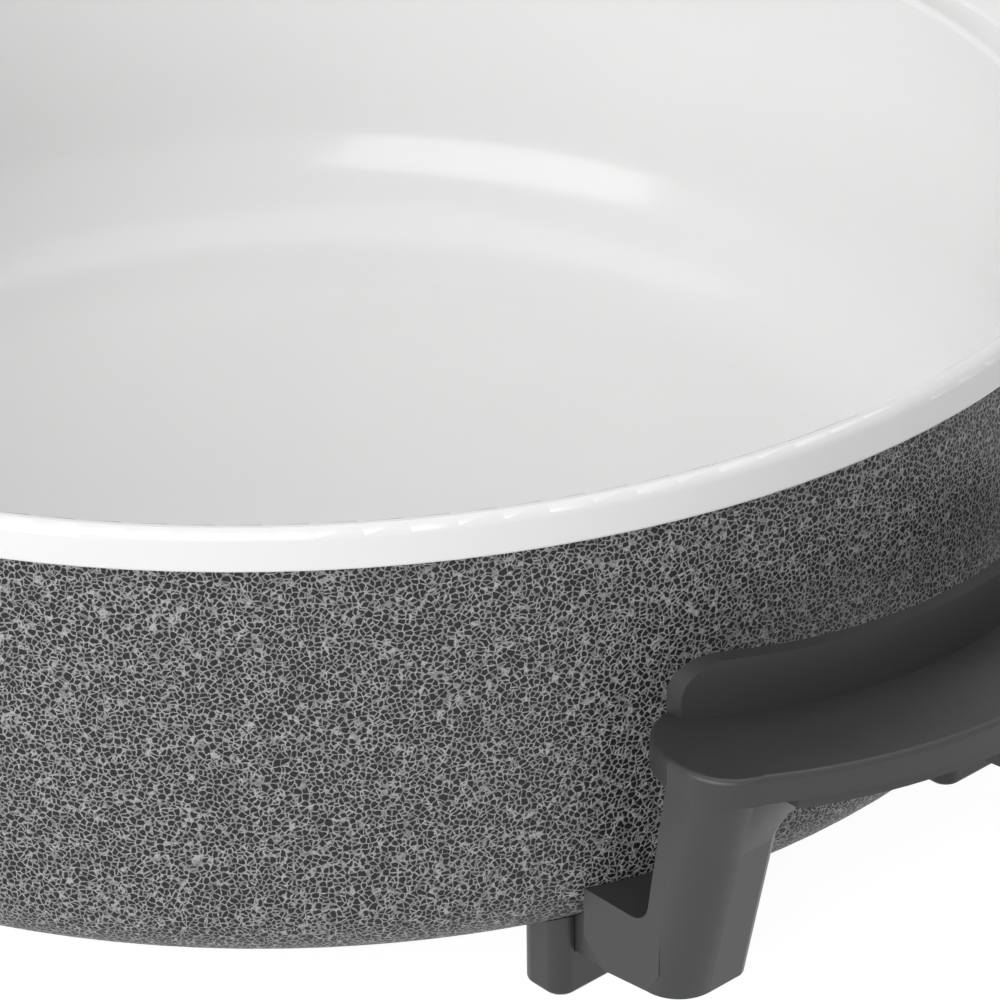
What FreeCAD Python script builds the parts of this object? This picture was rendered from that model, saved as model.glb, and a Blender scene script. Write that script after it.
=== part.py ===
import FreeCAD, Part
import math
import os
import Sketcher

# Round electric skillet: a cast pan on two leg-and-grip handles, a glass lid on a rear hinge,
# and a plug-in control probe at the front. Millimetres, Z up, origin on the table under the
# middle of the pan. Handles lie along X, the probe points to -Y and the lid hinge is at +Y.

doc = FreeCAD.newDocument("electric_skillet")
sheet = doc.addObject("Spreadsheet::Sheet", "Sizes")

SIZES = [
    ("rim_radius", 170, "outer radius of the rim band"),
    ("rim_top", 111, "height of the rim above the table"),
    ("band_height", 8, "height of the rim band"),
    ("lip_width", 4, "thickness of the upstanding lip"),
    ("wall_radius", 165, "outer radius of the body wall"),
    ("seat_radius", 157.6, "inner edge of the lid seat"),
    ("seat_depth", 7.3, "lid seat below the rim top"),
    ("floor_radius", 154.5, "inner wall carried down to the floor"),
    ("pan_bottom", 14, "underside of the pan above the table"),
    ("pan_floor", 4, "thickness of the cooking floor"),
    ("corner_radius", 17, "outer bottom corner"),
    ("cove_radius", 34, "inner corner from floor to wall"),
    ("rib_depth", 7.5, "heater rib below the pan"),
    ("heater_radius", 95, "centreline radius of the heating loop"),
    ("heater_height", 11.5, "centreline of the heating tube and terminals"),
    ("heater_tube", 3.5, "radius of the heating tube"),
    ("terminal_offset", 19, "terminal pin to the middle"),
    ("pin_radius", 2, "terminal pin"),
    ("boss_front", 164.8, "front of the terminal boss from the middle"),
    ("grip_end", 64, "half length of a grip"),
    ("grip_front_centre", 103.3, "centre of the arc of the grip's outer edge"),
    ("grip_front_radius", 104.3, "radius of the grip's outer edge"),
    ("fin_centre", 98.4, "centre of the arc of the heat guard fin"),
    ("fin_radius", 84, "inner radius of the fin"),
    ("fin_thickness", 3, "thickness of the fin"),
    ("grip_bottom", 61, "underside of the grip"),
    ("grip_top", 66.5, "top of the grip plate"),
    ("fin_top", 78, "top of the fin"),
    ("leg_near", 42.5, "leg side that faces the middle of the handle"),
    ("leg_far", 62, "leg side at the end of the handle"),
    ("leg_bottom", 12, "underside of leg and arm"),
    ("arm_start", 152.6, "inner end of the arm"),
    ("arm_top", 27.6, "top of the arm"),
    ("foot_inner", 135.8, "inner face of a foot"),
    ("foot_outer", 147, "outer face of a foot"),
    ("foot_near", 43, "foot side that faces the middle"),
    ("foot_far", 63, "foot side away from the middle"),
    ("hinge_reach", 179, "lid hinge axis behind the middle"),
    ("hinge_height", 120, "lid hinge axis above the table"),
    ("lid_open_angle", 105, "how far the lid stands open at rest"),
    ("lid_radius", 163.2, "outer radius of the lid's steel band"),
    ("glass_radius", 161.8, "outer radius of the lid glass"),
    ("glass_thickness", 4, "lid glass"),
    ("dome_height", 24, "rise of the lid glass"),
    ("guard_width", 62, "terminal guard across"),
    ("guard_low", 2.5, "underside of the terminal guard"),
    ("guard_high", 27.5, "top of the terminal guard"),
    ("guard_front", 189, "mouth of the terminal guard from the middle"),
    ("case_width", 58, "control case across"),
    ("case_front", 190.5, "case shoulder in front of the guard"),
    ("case_back", 268, "back of the control case"),
    ("case_low", 3, "underside of the control case"),
    ("case_high", 34, "top of the control case"),
    ("case_wall", 2.2, "wall of the control case"),
    ("dial_reach", 232, "dial axis in front of the middle"),
    ("dial_radius", 21, "control dial"),
    ("dial_height", 13, "height of the dial"),
    ("gland_length", 18.4, "cord gland from its inner end"),
]
for row, (alias, value, note) in enumerate(SIZES, start=1):
    sheet.set(f"A{row}", alias)
    sheet.set(f"B{row}", str(value))
    sheet.set(f"C{row}", note)
    sheet.setAlias(f"B{row}", alias)
doc.recompute()

PIECES = {}
UP = FreeCAD.Vector(0, 0, 1)
FRONTWARD = FreeCAD.Vector(0, -1, 0)
RIGHTWARD = FreeCAD.Vector(1, 0, 0)


class Size:
    """A length that keeps its number beside the spreadsheet expression it comes from."""

    def __init__(self, number, text):
        self.number = float(number)
        self.text = text

    def __add__(self, other):
        other = as_size(other)
        return Size(self.number + other.number, f"({self.text} + {other.text})")

    def __sub__(self, other):
        other = as_size(other)
        return Size(self.number - other.number, f"({self.text} - {other.text})")

    def __mul__(self, other):
        other = as_size(other)
        return Size(self.number * other.number, f"({self.text} * {other.text})")

    def __truediv__(self, other):
        other = as_size(other)
        return Size(self.number / other.number, f"({self.text} / {other.text})")

    def __radd__(self, other):
        return as_size(other) + self

    def __rsub__(self, other):
        return as_size(other) - self

    def __rmul__(self, other):
        return as_size(other) * self

    def __neg__(self):
        return as_size(0) - self


def as_size(value):
    if isinstance(value, Size):
        return value
    return Size(value, f"({value})")


def root(value):
    return Size(math.sqrt(value.number), f"sqrt({value.text})")


def cell(alias):
    return Size(sheet.get(alias), f"Sizes.{alias}")


def bind(target, prop, value):
    target.setExpression(prop, as_size(value).text)


def arc_height(centre, radius, aside):
    """How far out an arc about (centre, 0) lies at a distance aside from its middle line."""
    return centre + root(radius * radius - as_size(aside) * aside)


def place(target, at):
    for axis, value in zip("xyz", at):
        bind(target, f"Placement.Base.{axis}", value)


def point_to(target, direction):
    target.Placement = FreeCAD.Placement(FreeCAD.Vector(), FreeCAD.Rotation(UP, direction))


def box(low, high, name="Block"):
    block = doc.addObject("Part::Box", name)
    for prop, start, end in zip(("Length", "Width", "Height"), low, high):
        bind(block, prop, as_size(end) - start)
    place(block, low)
    return block


def cylinder(radius, length, at, direction=UP, name="Rod"):
    rod = doc.addObject("Part::Cylinder", name)
    bind(rod, "Radius", radius)
    bind(rod, "Height", length)
    point_to(rod, direction)
    place(rod, at)
    return rod


def cone(radius, end_radius, length, at, direction=UP, name="Taper"):
    taper = doc.addObject("Part::Cone", name)
    bind(taper, "Radius1", radius)
    bind(taper, "Radius2", end_radius)
    bind(taper, "Height", length)
    point_to(taper, direction)
    place(taper, at)
    return taper


def fuse(*shapes):
    joined = doc.addObject("Part::MultiFuse", "Joined")
    joined.Shapes = list(shapes)
    joined.Refine = True
    return joined


def group(*shapes):
    together = doc.addObject("Part::Compound", "Group")
    together.Links = list(shapes)
    return together


def cut(base, *tools):
    for tool in tools:
        less = doc.addObject("Part::Cut", "Trimmed")
        less.Base = base
        less.Tool = tool
        base = less
    return base


def piece(name, target):
    target.Label = name
    PIECES[name] = target
    return target


def new_body(name):
    body = doc.addObject("PartDesign::Body", "Body")
    body.Label = f"{name}_body"
    return body


def origin_plane(body, role):
    return next(feature for feature in body.Origin.OriginFeatures if feature.Role == role)


def new_sketch(body, role, offset):
    sketch = body.newObject("Sketcher::SketchObject", "Sketch")
    sketch.AttachmentSupport = (origin_plane(body, role), [""])
    sketch.MapMode = "FlatFace"
    bind(sketch, "AttachmentOffset.Base.z", offset)
    return sketch


def hold_point(sketch, geometry, end, across, up):
    """Dimension one point from the sketch's origin, or put it on the axis that it lies on."""
    for kind, axis, value in (("DistanceX", -2, across), ("DistanceY", -1, up)):
        value = as_size(value)
        if abs(value.number) < 1e-9:
            sketch.addConstraint(Sketcher.Constraint("PointOnObject", geometry, end, axis))
            continue
        index = sketch.addConstraint(
            Sketcher.Constraint(kind, -1, 1, geometry, end, value.number))
        bind(sketch, f"Constraints[{index}]", value)


def arc_between(start, end, radius, bulge):
    """The shorter arc from start to end; bulge +1 swells to the right of the way, -1 to the left."""
    middle = (start + end) * 0.5
    chord = end - start
    sideways = FreeCAD.Vector(chord.y, -chord.x, 0).normalize() * bulge
    inset = math.sqrt(max(radius ** 2 - (chord.Length / 2) ** 2, 0.0))
    centre = middle - sideways * inset
    first, last = (start, end) if bulge > 0 else (end, start)
    angles = [math.atan2(point.y - centre.y, point.x - centre.x) for point in (first, last)]
    if angles[1] < angles[0]:
        angles[1] += 2 * math.pi
    return Part.ArcOfCircle(Part.Circle(centre, UP, radius), angles[0], angles[1])


def draw(sketch, corners, closed=True):
    """Sides through the corners. A corner with a radius and a bulge starts an arc."""
    points = [FreeCAD.Vector(as_size(c[0]).number, as_size(c[1]).number, 0) for c in corners]
    count = len(points) if closed else len(points) - 1
    first = sketch.GeometryCount
    for index in range(count):
        start, end = points[index], points[(index + 1) % len(points)]
        if len(corners[index]) == 4:
            radius, bulge = corners[index][2:]
            sketch.addGeometry(arc_between(start, end, as_size(radius).number, bulge))
        else:
            sketch.addGeometry(Part.LineSegment(start, end))
    starts_at = []
    for index in range(count):
        side = sketch.Geometry[first + index]
        forward = side.StartPoint.distanceToPoint(points[index]) < 1e-6
        starts_at.append((1, 2) if forward else (2, 1))
    for index in range(count if closed else count - 1):
        following = (index + 1) % count
        sketch.addConstraint(Sketcher.Constraint(
            "Coincident", first + index, starts_at[index][1],
            first + following, starts_at[following][0]))
    for index in range(count):
        hold_point(sketch, first + index, starts_at[index][0], *corners[index][:2])
        if len(corners[index]) == 4:
            radius = as_size(corners[index][2])
            number = sketch.addConstraint(
                Sketcher.Constraint("Radius", first + index, radius.number))
            bind(sketch, f"Constraints[{number}]", radius)
    if not closed:
        hold_point(sketch, first + count - 1, starts_at[-1][1], *corners[-1][:2])
    return sketch


def outline(body, role, corners, offset=0.0, closed=True):
    return draw(new_sketch(body, role, offset), corners, closed)


def disc(body, role, radius, at=(0, 0), offset=0.0):
    sketch = new_sketch(body, role, offset)
    centre = FreeCAD.Vector(as_size(at[0]).number, as_size(at[1]).number, 0)
    sketch.addGeometry(Part.Circle(centre, UP, as_size(radius).number))
    hold_point(sketch, 0, 3, *at)
    number = sketch.addConstraint(Sketcher.Constraint("Radius", 0, as_size(radius).number))
    bind(sketch, f"Constraints[{number}]", radius)
    return sketch


def feature(body, kind, sketch, **sizes):
    made = body.newObject(f"PartDesign::{kind}", kind)
    made.Profile = sketch
    for prop, value in sizes.items():
        if isinstance(value, bool):
            setattr(made, prop, value)
        else:
            bind(made, prop, value)
    return made


def turned(body, corners, kind="Revolution"):
    """Turn an outline of radius and height pairs about the vertical axis."""
    sketch = outline(body, "XZ_Plane", corners)
    made = body.newObject(f"PartDesign::{kind}", kind)
    made.Profile = sketch
    made.ReferenceAxis = (sketch, ["V_Axis"])
    made.Angle = 360
    return made


def turned_piece(name, corners):
    body = new_body(name)
    turned(body, corners)
    return body


def round_edges(body, radius, chosen, kind="Fillet"):
    """Round the edges of the body's latest shape that the test picks."""
    doc.recompute()
    tip = body.Tip
    names = [f"Edge{number}" for number, edge in enumerate(tip.Shape.Edges, start=1)
             if chosen(edge)]
    if not names:
        raise RuntimeError(f"no edge to round on {body.Label}")
    made = body.newObject(f"PartDesign::{kind}", kind)
    made.Base = (tip, names)
    bind(made, "Radius" if kind == "Fillet" else "Size", radius)
    return made


def hoop(radius, height):
    """Picks the level circle of one radius at one height."""
    def chosen(edge):
        curve = edge.Curve
        if not isinstance(curve, Part.Circle):
            return False
        level = abs(edge.BoundBox.ZMax - height.number) < 0.02
        return level and edge.BoundBox.ZLength < 0.02 and abs(curve.Radius - radius.number) < 0.02
    return chosen


def upright(edge):
    """Picks straight edges that stand along Z."""
    box_of = edge.BoundBox
    return box_of.XLength < 0.02 and box_of.YLength < 0.02 and box_of.ZLength > 0.5


def level_at(height, inside=None):
    """Picks edges that lie level at one height, and pass a further test if there is one."""
    def chosen(edge):
        box_of = edge.BoundBox
        if box_of.ZLength > 0.02 or abs(box_of.ZMax - as_size(height).number) > 0.02:
            return False
        return inside is None or inside(box_of.Center)
    return chosen


WALL = cell("wall_radius")
RIM = cell("rim_radius")
RIM_TOP = cell("rim_top")
SEAT = RIM_TOP - cell("seat_depth")
BOTTOM = cell("pan_bottom")
FLOOR = BOTTOM + cell("pan_floor")
HEATER = cell("heater_height")
PIN_SIDE = cell("terminal_offset")
FOOT_MIDDLE = (cell("foot_inner") + cell("foot_outer")) / 2
FOOT_ASIDE = (cell("foot_near") + cell("foot_far")) / 2
LEG_MIDDLE = (cell("leg_near") + cell("leg_far")) / 2
FOOT_SCREW_RADIUS = 2
HINGE_SCREW_SIDE = 16
HINGE_SCREW_HEIGHT = 84
GUARD_SCREW_SIDE = 8.5
SIDES = (1, -1)


def heater_path(body):
    """The loop under the floor and its two straight legs to the terminals."""
    loop = cell("heater_radius")
    bend = 15
    bend_across = PIN_SIDE + bend
    reach = loop + bend
    bend_back = root(reach * reach - bend_across * bend_across)
    join_across = bend_across * loop / reach
    join_back = bend_back * loop / reach
    front = cell("boss_front")
    return outline(body, "XY_Plane", [
        (PIN_SIDE, -front),
        (PIN_SIDE, -bend_back, bend, -1),
        (join_across, -join_back, loop, 1),
        (0, loop, loop, 1),
        (-join_across, -join_back, bend, -1),
        (-PIN_SIDE, -bend_back),
        (-PIN_SIDE, -front),
    ], offset=HEATER, closed=False)


def heater_tube(body, kind):
    path = heater_path(body)
    section = disc(body, "XZ_Plane", cell("heater_tube"), (PIN_SIDE, HEATER),
                   offset=cell("boss_front"))
    doc.recompute()
    pipe = body.newObject(f"PartDesign::{kind}", kind)
    pipe.Profile = section
    pipe.Spine = (path, [f"Edge{number}" for number in range(1, path.GeometryCount + 1)])
    return pipe


def pan_casting():
    """One casting: floor, wall, lid seat, rim, heater rib and terminal boss."""
    body = new_body("pan")
    lip_inner = RIM - cell("lip_width")
    lip_foot = lip_inner - 1.2
    lip_foot_height = SEAT + 1.3
    band_low = RIM_TOP - cell("band_height")
    turned(body, [
        (0, BOTTOM), (WALL, BOTTOM), (WALL, band_low), (RIM, band_low), (RIM, RIM_TOP),
        (lip_inner, RIM_TOP), (lip_foot, lip_foot_height), (cell("seat_radius"), SEAT),
        (cell("floor_radius"), FLOOR), (0, FLOOR)])
    round_edges(body, cell("corner_radius"), hoop(WALL, BOTTOM))
    round_edges(body, cell("cove_radius"), hoop(cell("floor_radius"), FLOOR))
    round_edges(body, 1.9, hoop(RIM, RIM_TOP))
    round_edges(body, 1.6, hoop(lip_inner, RIM_TOP))
    round_edges(body, 1.5, hoop(cell("seat_radius"), SEAT))
    round_edges(body, 1.0, hoop(lip_foot, lip_foot_height))
    round_edges(body, 0.8, hoop(RIM, band_low))
    rib_low = BOTTOM - cell("rib_depth")
    rib_half = 9
    turned(body, [
        (cell("heater_radius") - rib_half, rib_low), (cell("heater_radius") + rib_half, rib_low),
        (cell("heater_radius") + rib_half + 3, BOTTOM + 1),
        (cell("heater_radius") - rib_half - 3, BOTTOM + 1)])
    boss_half = PIN_SIDE + 9
    boss_back = cell("heater_radius") - 5
    boss = outline(body, "XY_Plane", [
        (boss_half, -cell("boss_front")), (boss_half, -boss_back),
        (-boss_half, -boss_back), (-boss_half, -cell("boss_front"))], offset=rib_low)
    feature(body, "Pad", boss, Length=FLOOR - rib_low - 1)
    heater_tube(body, "SubtractivePipe")
    holes = [cylinder(FOOT_SCREW_RADIUS, 10, (x * FOOT_MIDDLE, y * FOOT_ASIDE, BOTTOM - 1))
             for x in SIDES for y in SIDES]
    holes.append(cylinder(SLEEVE_RADIUS, SLEEVE_LENGTH, (0, -cell("boss_front"), HEATER),
                          -FRONTWARD))
    for x in SIDES:
        holes.append(cylinder(2, 6, (x * HINGE_SCREW_SIDE, WALL - 5.5, HINGE_SCREW_HEIGHT),
                              -FRONTWARD))
        holes.append(cylinder(1.5, 8, (x * GUARD_SCREW_SIDE, -cell("boss_front"), HEATER),
                              -FRONTWARD))
    return piece("pan_casting", cut(body, fuse(*holes)))


SLEEVE_RADIUS = as_size(3.4)
SLEEVE_LENGTH = as_size(72)
SLEEVE_STANDOUT = 4
ROD_RADIUS = as_size(2.5)
SLEEVE_BORE = ROD_RADIUS + 0.08


def heating_parts():
    """The sheathed loop, its terminal pins and the blind sleeve that takes the probe's rod."""
    body = new_body("heating_element")
    heater_tube(body, "AdditivePipe")
    piece("heating_element", body)
    pins = []
    for x in SIDES:
        shank = cylinder(cell("pin_radius"), 20, (x * PIN_SIDE, -cell("boss_front"), HEATER),
                         FRONTWARD)
        tip = cone(cell("pin_radius"), cell("pin_radius") - 0.8, 1.5,
                   (x * PIN_SIDE, -cell("boss_front") - 20, HEATER), FRONTWARD)
        pins.append(fuse(shank, tip))
    piece("terminal_pins", group(*pins))
    mouth = cell("boss_front") + SLEEVE_STANDOUT
    length = SLEEVE_LENGTH + SLEEVE_STANDOUT
    tube = cylinder(SLEEVE_RADIUS, length, (0, -mouth, HEATER), -FRONTWARD)
    bore = cylinder(SLEEVE_BORE, length - 2, (0, -mouth, HEATER), -FRONTWARD)
    piece("probe_sleeve", cut(tube, bore))


def rounded_block(name, low, high, radius):
    """A block with its four upright edges rounded."""
    body = new_body(name)
    floor = outline(body, "XY_Plane", [
        (low[0], low[1]), (high[0], low[1]), (high[0], high[1]), (low[0], high[1])],
        offset=low[2])
    feature(body, "Pad", floor, Length=as_size(high[2]) - low[2])
    round_edges(body, radius, upright)
    return body


def mouth_block(name, half, low, high, start, end, radius):
    """A block seen from the front as a rounded rectangle, running from start out to end."""
    body = new_body(name)
    face = outline(body, "XZ_Plane", [
        (-half, low), (half, low), (half, high), (-half, high)], offset=start)
    feature(body, "Pad", face, Length=as_size(end) - start)
    round_edges(body, radius, lambda edge: edge.BoundBox.YLength > 0.5
                and edge.BoundBox.XLength < 0.02 and edge.BoundBox.ZLength < 0.02)
    return body


def terminal_guard():
    """A shroud round the terminal pins, open to the front, screwed to the boss."""
    half = cell("guard_width") / 2
    low = cell("guard_low")
    high = cell("guard_high")
    back = cell("boss_front") + 0.2
    shell = mouth_block("guard", half, low, high, back, cell("guard_front"), 5)
    hollow = mouth_block("guard_hollow", half - 2, low + 2, high - 2, back + 2,
                         cell("guard_front") + 1, 3.5)
    passages = [cylinder(SLEEVE_RADIUS + 0.1, 4, (0, 1 - back, HEATER), FRONTWARD)]
    screws = []
    for x in SIDES:
        passages.append(cylinder(cell("heater_tube") + 0.2, 4, (x * PIN_SIDE, 1 - back, HEATER),
                                 FRONTWARD))
        passages.append(cylinder(1.7, 4, (x * GUARD_SCREW_SIDE, 1 - back, HEATER), FRONTWARD))
        shank = cylinder(1.5, 9.5, (x * GUARD_SCREW_SIDE, -back - 2, HEATER), -FRONTWARD)
        head = cylinder(2.6, 1.6, (x * GUARD_SCREW_SIDE, -back - 2, HEATER), FRONTWARD)
        screws.append(fuse(shank, head))
    guard = cut(shell, hollow, fuse(*passages), pan_envelope())
    piece("terminal_guard", guard)
    piece("guard_screws", group(*screws))


def pan_envelope():
    """The pan's outside with a hair of room, for trimming what is fitted against it."""
    gap = 0.15
    corner = cell("corner_radius")
    middle = cylinder(WALL - corner, 60, (0, 0, BOTTOM - gap))
    wall = cylinder(WALL + gap, 60, (0, 0, BOTTOM + corner))
    ring = doc.addObject("Part::Torus", "Corner")
    bind(ring, "Radius1", WALL - corner)
    bind(ring, "Radius2", corner + gap)
    place(ring, (0, 0, BOTTOM + corner))
    return fuse(middle, wall, ring)


def grip_outline(body, inset, height):
    """The grip seen from above: two arcs with rounded ends, drawn in by an inset."""
    end = cell("grip_end") - inset
    outer = cell("grip_front_radius") - inset
    inner = cell("fin_radius") + inset
    turn = 9 - inset
    outer_stop = end - turn
    inner_stop = end - 11
    outer_at = arc_height(cell("grip_front_centre"), outer, outer_stop)
    inner_at = arc_height(cell("fin_centre"), inner, inner_stop)
    outer_corner = outer_at - 11
    inner_corner = outer_corner - 5
    return outline(body, "XY_Plane", [
        (outer_at, -outer_stop, outer, 1),
        (outer_at, outer_stop, 12, 1),
        (outer_corner, end),
        (inner_corner, end, 14, 1),
        (inner_at, inner_stop, inner, -1),
        (inner_at, -inner_stop, 14, 1),
        (inner_corner, -end),
        (outer_corner, -end, 12, 1),
    ], offset=height)


def half_turn(target, degrees):
    """Turn a finished piece about the vertical axis of the skillet."""
    target.Placement = FreeCAD.Placement(FreeCAD.Vector(), FreeCAD.Rotation(UP, degrees))
    return target


def grip_fin(side):
    """The upright heat guard: a strip of a thin ring, seen from the side with round top corners."""
    low = cell("grip_bottom") + 1
    height = cell("fin_top") - low
    centre = (cell("fin_centre"), 0, low)
    outer = cell("fin_radius") + cell("fin_thickness")
    ring = cut(cylinder(outer, height, centre), cylinder(cell("fin_radius"), height, centre))
    stop = cell("grip_end") - 11.5
    turn = 8
    top = cell("fin_top")
    body = new_body(f"fin_{side}")
    face = outline(body, "YZ_Plane", [
        (stop, low), (stop, top - turn, turn, 1), (stop - turn, top),
        (turn - stop, top, turn, 1), (-stop, top - turn), (-stop, low)],
        offset=cell("fin_centre"))
    feature(body, "Pad", face, Length=outer + 1)
    strip = doc.addObject("Part::Common", "Fin")
    strip.Base = ring
    strip.Tool = body
    return strip


def grip(side, degrees):
    """The part the hand holds: a curved plate with the fin along its inner edge."""
    body = new_body(f"grip_{side}")
    plate = grip_outline(body, as_size(0), cell("grip_bottom"))
    feature(body, "Pad", plate, Length=cell("grip_top") - cell("grip_bottom"))
    round_edges(body, 1.1, level_at(cell("grip_top")))
    screw_holes = [cylinder(1.5, 4, in_leg(y, cell("grip_bottom") - 1), LEG_LEAN) for y in SIDES]
    whole = cut(fuse(body, grip_fin(side)), fuse(*screw_holes))
    return piece(f"handle_grip_{side}", half_turn(whole, degrees))


LEG_LEAN = FreeCAD.Vector(0.186, 0, 1)
LEG_CORE_X = as_size(171.9)
LEG_LOW_INNER = 166.5
LEG_LOW_OUTER = 177.2
LEG_FLARE_HEIGHT = 46
LEG_FLARE = [(0.0, 0.0), (0.55, 0.18), (0.85, 0.5), (1.0, 1.0)]


def in_leg(y, height):
    """A point on the leaning middle line of a leg."""
    lean = as_size(LEG_LEAN.x)
    return (LEG_CORE_X + (as_size(height) - cell("leg_bottom")) * lean, y * LEG_MIDDLE, height)


def leg_section(body, y, height, inner, near_outer, far_outer, near):
    """One level section of a leg, with its two outer corners rounded."""
    far = cell("leg_far")
    big = 8
    small = 3.5
    corners = [
        (inner, near), (near_outer - small, near, small * 1.35, 1),
        (near_outer, near + small), (far_outer, far - big, big, 1),
        (far_outer - big, far), (inner, far)]
    if y < 0:
        corners = [(c[0], -as_size(c[1])) + ((c[2], -c[3]) if len(c) == 4 else ())
                   for c in corners]
    return outline(body, "XY_Plane", corners, offset=height)


def loft(body, sections, ruled):
    made = body.newObject("PartDesign::AdditiveLoft", "AdditiveLoft")
    made.Profile = sections[0]
    made.Sections = sections[1:]
    made.Ruled = ruled
    return made


def leg(body, y):
    """A leg that leans out as it rises and flares into the underside of the grip."""
    low = cell("leg_bottom") + 1.2
    slope_out = 0.217
    slope_in = 0.155
    near = cell("leg_near")
    rise = LEG_FLARE_HEIGHT - low
    knee_inner = LEG_LOW_INNER + rise * slope_in
    knee_outer = LEG_LOW_OUTER + rise * slope_out
    knee = leg_section(body, y, LEG_FLARE_HEIGHT, knee_inner, knee_outer, knee_outer, near)
    bottom = leg_section(body, y, low, as_size(LEG_LOW_INNER), as_size(LEG_LOW_OUTER),
                         as_size(LEG_LOW_OUTER), near)
    loft(body, [bottom, knee], True)
    top = cell("grip_bottom")
    top_rise = top - LEG_FLARE_HEIGHT
    top_near = near - 13
    edge = cell("grip_front_radius") - 2.5
    top_near_outer = arc_height(cell("grip_front_centre"), edge, top_near + 3.5)
    top_far_outer = arc_height(cell("grip_front_centre"), edge, cell("leg_far") - 6)
    sections = []
    for climb, spread in LEG_FLARE:
        height = LEG_FLARE_HEIGHT + top_rise * climb
        inner = knee_inner + top_rise * climb * slope_in
        straight = knee_outer + top_rise * climb * slope_out
        sections.append(leg_section(
            body, y, height, inner,
            straight * (1 - spread) + top_near_outer * spread,
            straight * (1 - spread) + top_far_outer * spread,
            near * (1 - spread) + top_near * spread))
    loft(body, sections, False)


def frame(side, degrees):
    """Two legs, the beam under the grip and two arms that reach under the pan."""
    body = new_body(f"frame_{side}")
    top = cell("grip_bottom")
    beam_depth = 3.2
    inset = 2.2
    outer = cell("grip_front_radius") - inset
    inner = cell("fin_radius") + 5
    reach = cell("leg_near") + 6
    beam = outline(body, "XY_Plane", [
        (arc_height(cell("grip_front_centre"), outer, reach), -reach, outer, 1),
        (arc_height(cell("grip_front_centre"), outer, reach), reach),
        (arc_height(cell("fin_centre"), inner, reach), reach, inner, -1),
        (arc_height(cell("fin_centre"), inner, reach), -reach),
    ], offset=top - beam_depth)
    feature(body, "Pad", beam, Length=as_size(beam_depth))
    for y in SIDES:
        leg(body, y)
    low = cell("leg_bottom")
    start = cell("arm_start")
    width = cell("leg_far") - cell("leg_near")
    for y in SIDES:
        arm = outline(body, "XZ_Plane", [
            (start, low + 5), (start + 5, low), (LEG_LOW_OUTER - 8, low + 1.2),
            (LEG_LOW_OUTER - 5, low + 6), (LEG_LOW_INNER + 6, cell("arm_top")),
            (start, cell("arm_top"))],
            offset=-cell("leg_near") if y > 0 else cell("leg_near"))
        feature(body, "Pad", arm, Length=width, Reversed=y > 0)
    round_edges(body, 4.5, level_at(cell("arm_top"), lambda middle: 167 < middle.x < 171.5
                                    and abs(abs(middle.y) - LEG_MIDDLE.number) < 1))
    tongues = []
    holes = []
    for y in SIDES:
        near, far = sorted((y * (cell("foot_near").number + 3.5), y * (cell("foot_far").number - 4)))
        tongues.append(box((cell("foot_inner") + 2.5, near, low - 2.4),
                           (start + 4, far, low + 9), "Tongue"))
        holes.append(cylinder(FOOT_SCREW_RADIUS + 0.2, 30, (FOOT_MIDDLE, y * FOOT_ASIDE, 0)))
        screw_seat = top - 8
        holes.append(cylinder(1.7, 20, in_leg(y, screw_seat - 1), LEG_LEAN))
        holes.append(cylinder(3.4, (screw_seat - low + 3) * LEG_LEAN.Length,
                              in_leg(y, low - 3), LEG_LEAN))
    whole = cut(fuse(body, *tongues), pan_envelope(), fuse(*holes))
    return piece(f"handle_frame_{side}", half_turn(whole, degrees))


def grip_screws(side, degrees):
    """Two long screws that come up through the legs into the grip."""
    screws = []
    seat = cell("grip_bottom") - 8
    for y in SIDES:
        shank = cylinder(1.45, 11, in_leg(y, seat - 0.5), LEG_LEAN)
        head = cylinder(3, 2.4, in_leg(y, seat - 2.6), LEG_LEAN)
        screws.append(fuse(shank, head))
    return piece(f"grip_screws_{side}", half_turn(group(*screws), degrees))


def feet():
    """Four feet under the pan. Each clamps a frame's tongue and hides its screw."""
    screws = []
    for side, x in (("right", 1), ("left", -1)):
        for end, y in (("front", -1), ("rear", 1)):
            near_x = x * cell("foot_inner")
            far_x = x * cell("foot_outer")
            near_y = y * cell("foot_near")
            far_y = y * cell("foot_far")
            low = (near_x if x > 0 else far_x, near_y if y > 0 else far_y, 0)
            high = (far_x if x > 0 else near_x, far_y if y > 0 else near_y, BOTTOM + 10)
            block = rounded_block(f"foot_{end}_{side}", low, high, 3.6)
            round_edges(block, 1.0, level_at(0))
            slot_y = sorted((y * (cell("foot_near").number + 3.3),
                             y * (cell("foot_far").number - 3.8)))
            slot_x = sorted((x * (cell("foot_inner").number + 2.3),
                             x * (cell("foot_outer").number + 5)))
            slot = box((slot_x[0], slot_y[0], cell("leg_bottom") - 2.6),
                       (slot_x[1], slot_y[1], BOTTOM + 12), "Slot")
            at = (x * FOOT_MIDDLE, y * FOOT_ASIDE)
            passage = cylinder(FOOT_SCREW_RADIUS + 0.2, 20, at + (0,))
            recess = cylinder(3.8, 6, at + (-1,))
            piece(f"foot_{end}_{side}", cut(block, pan_envelope(), slot, fuse(passage, recess)))
            shank = cylinder(FOOT_SCREW_RADIUS - 0.05, 16.4, at + (4.6,))
            head = cylinder(3.4, 2.6, at + (2.3,))
            screws.append(fuse(shank, head))
    piece("foot_screws", group(*screws))


HINGE_Y = cell("hinge_reach")
HINGE_Z = cell("hinge_height")
KNUCKLE = 5.2
PIN = 2.5
BRACKET_HALF = 24
ARM_HALF = 15


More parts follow.
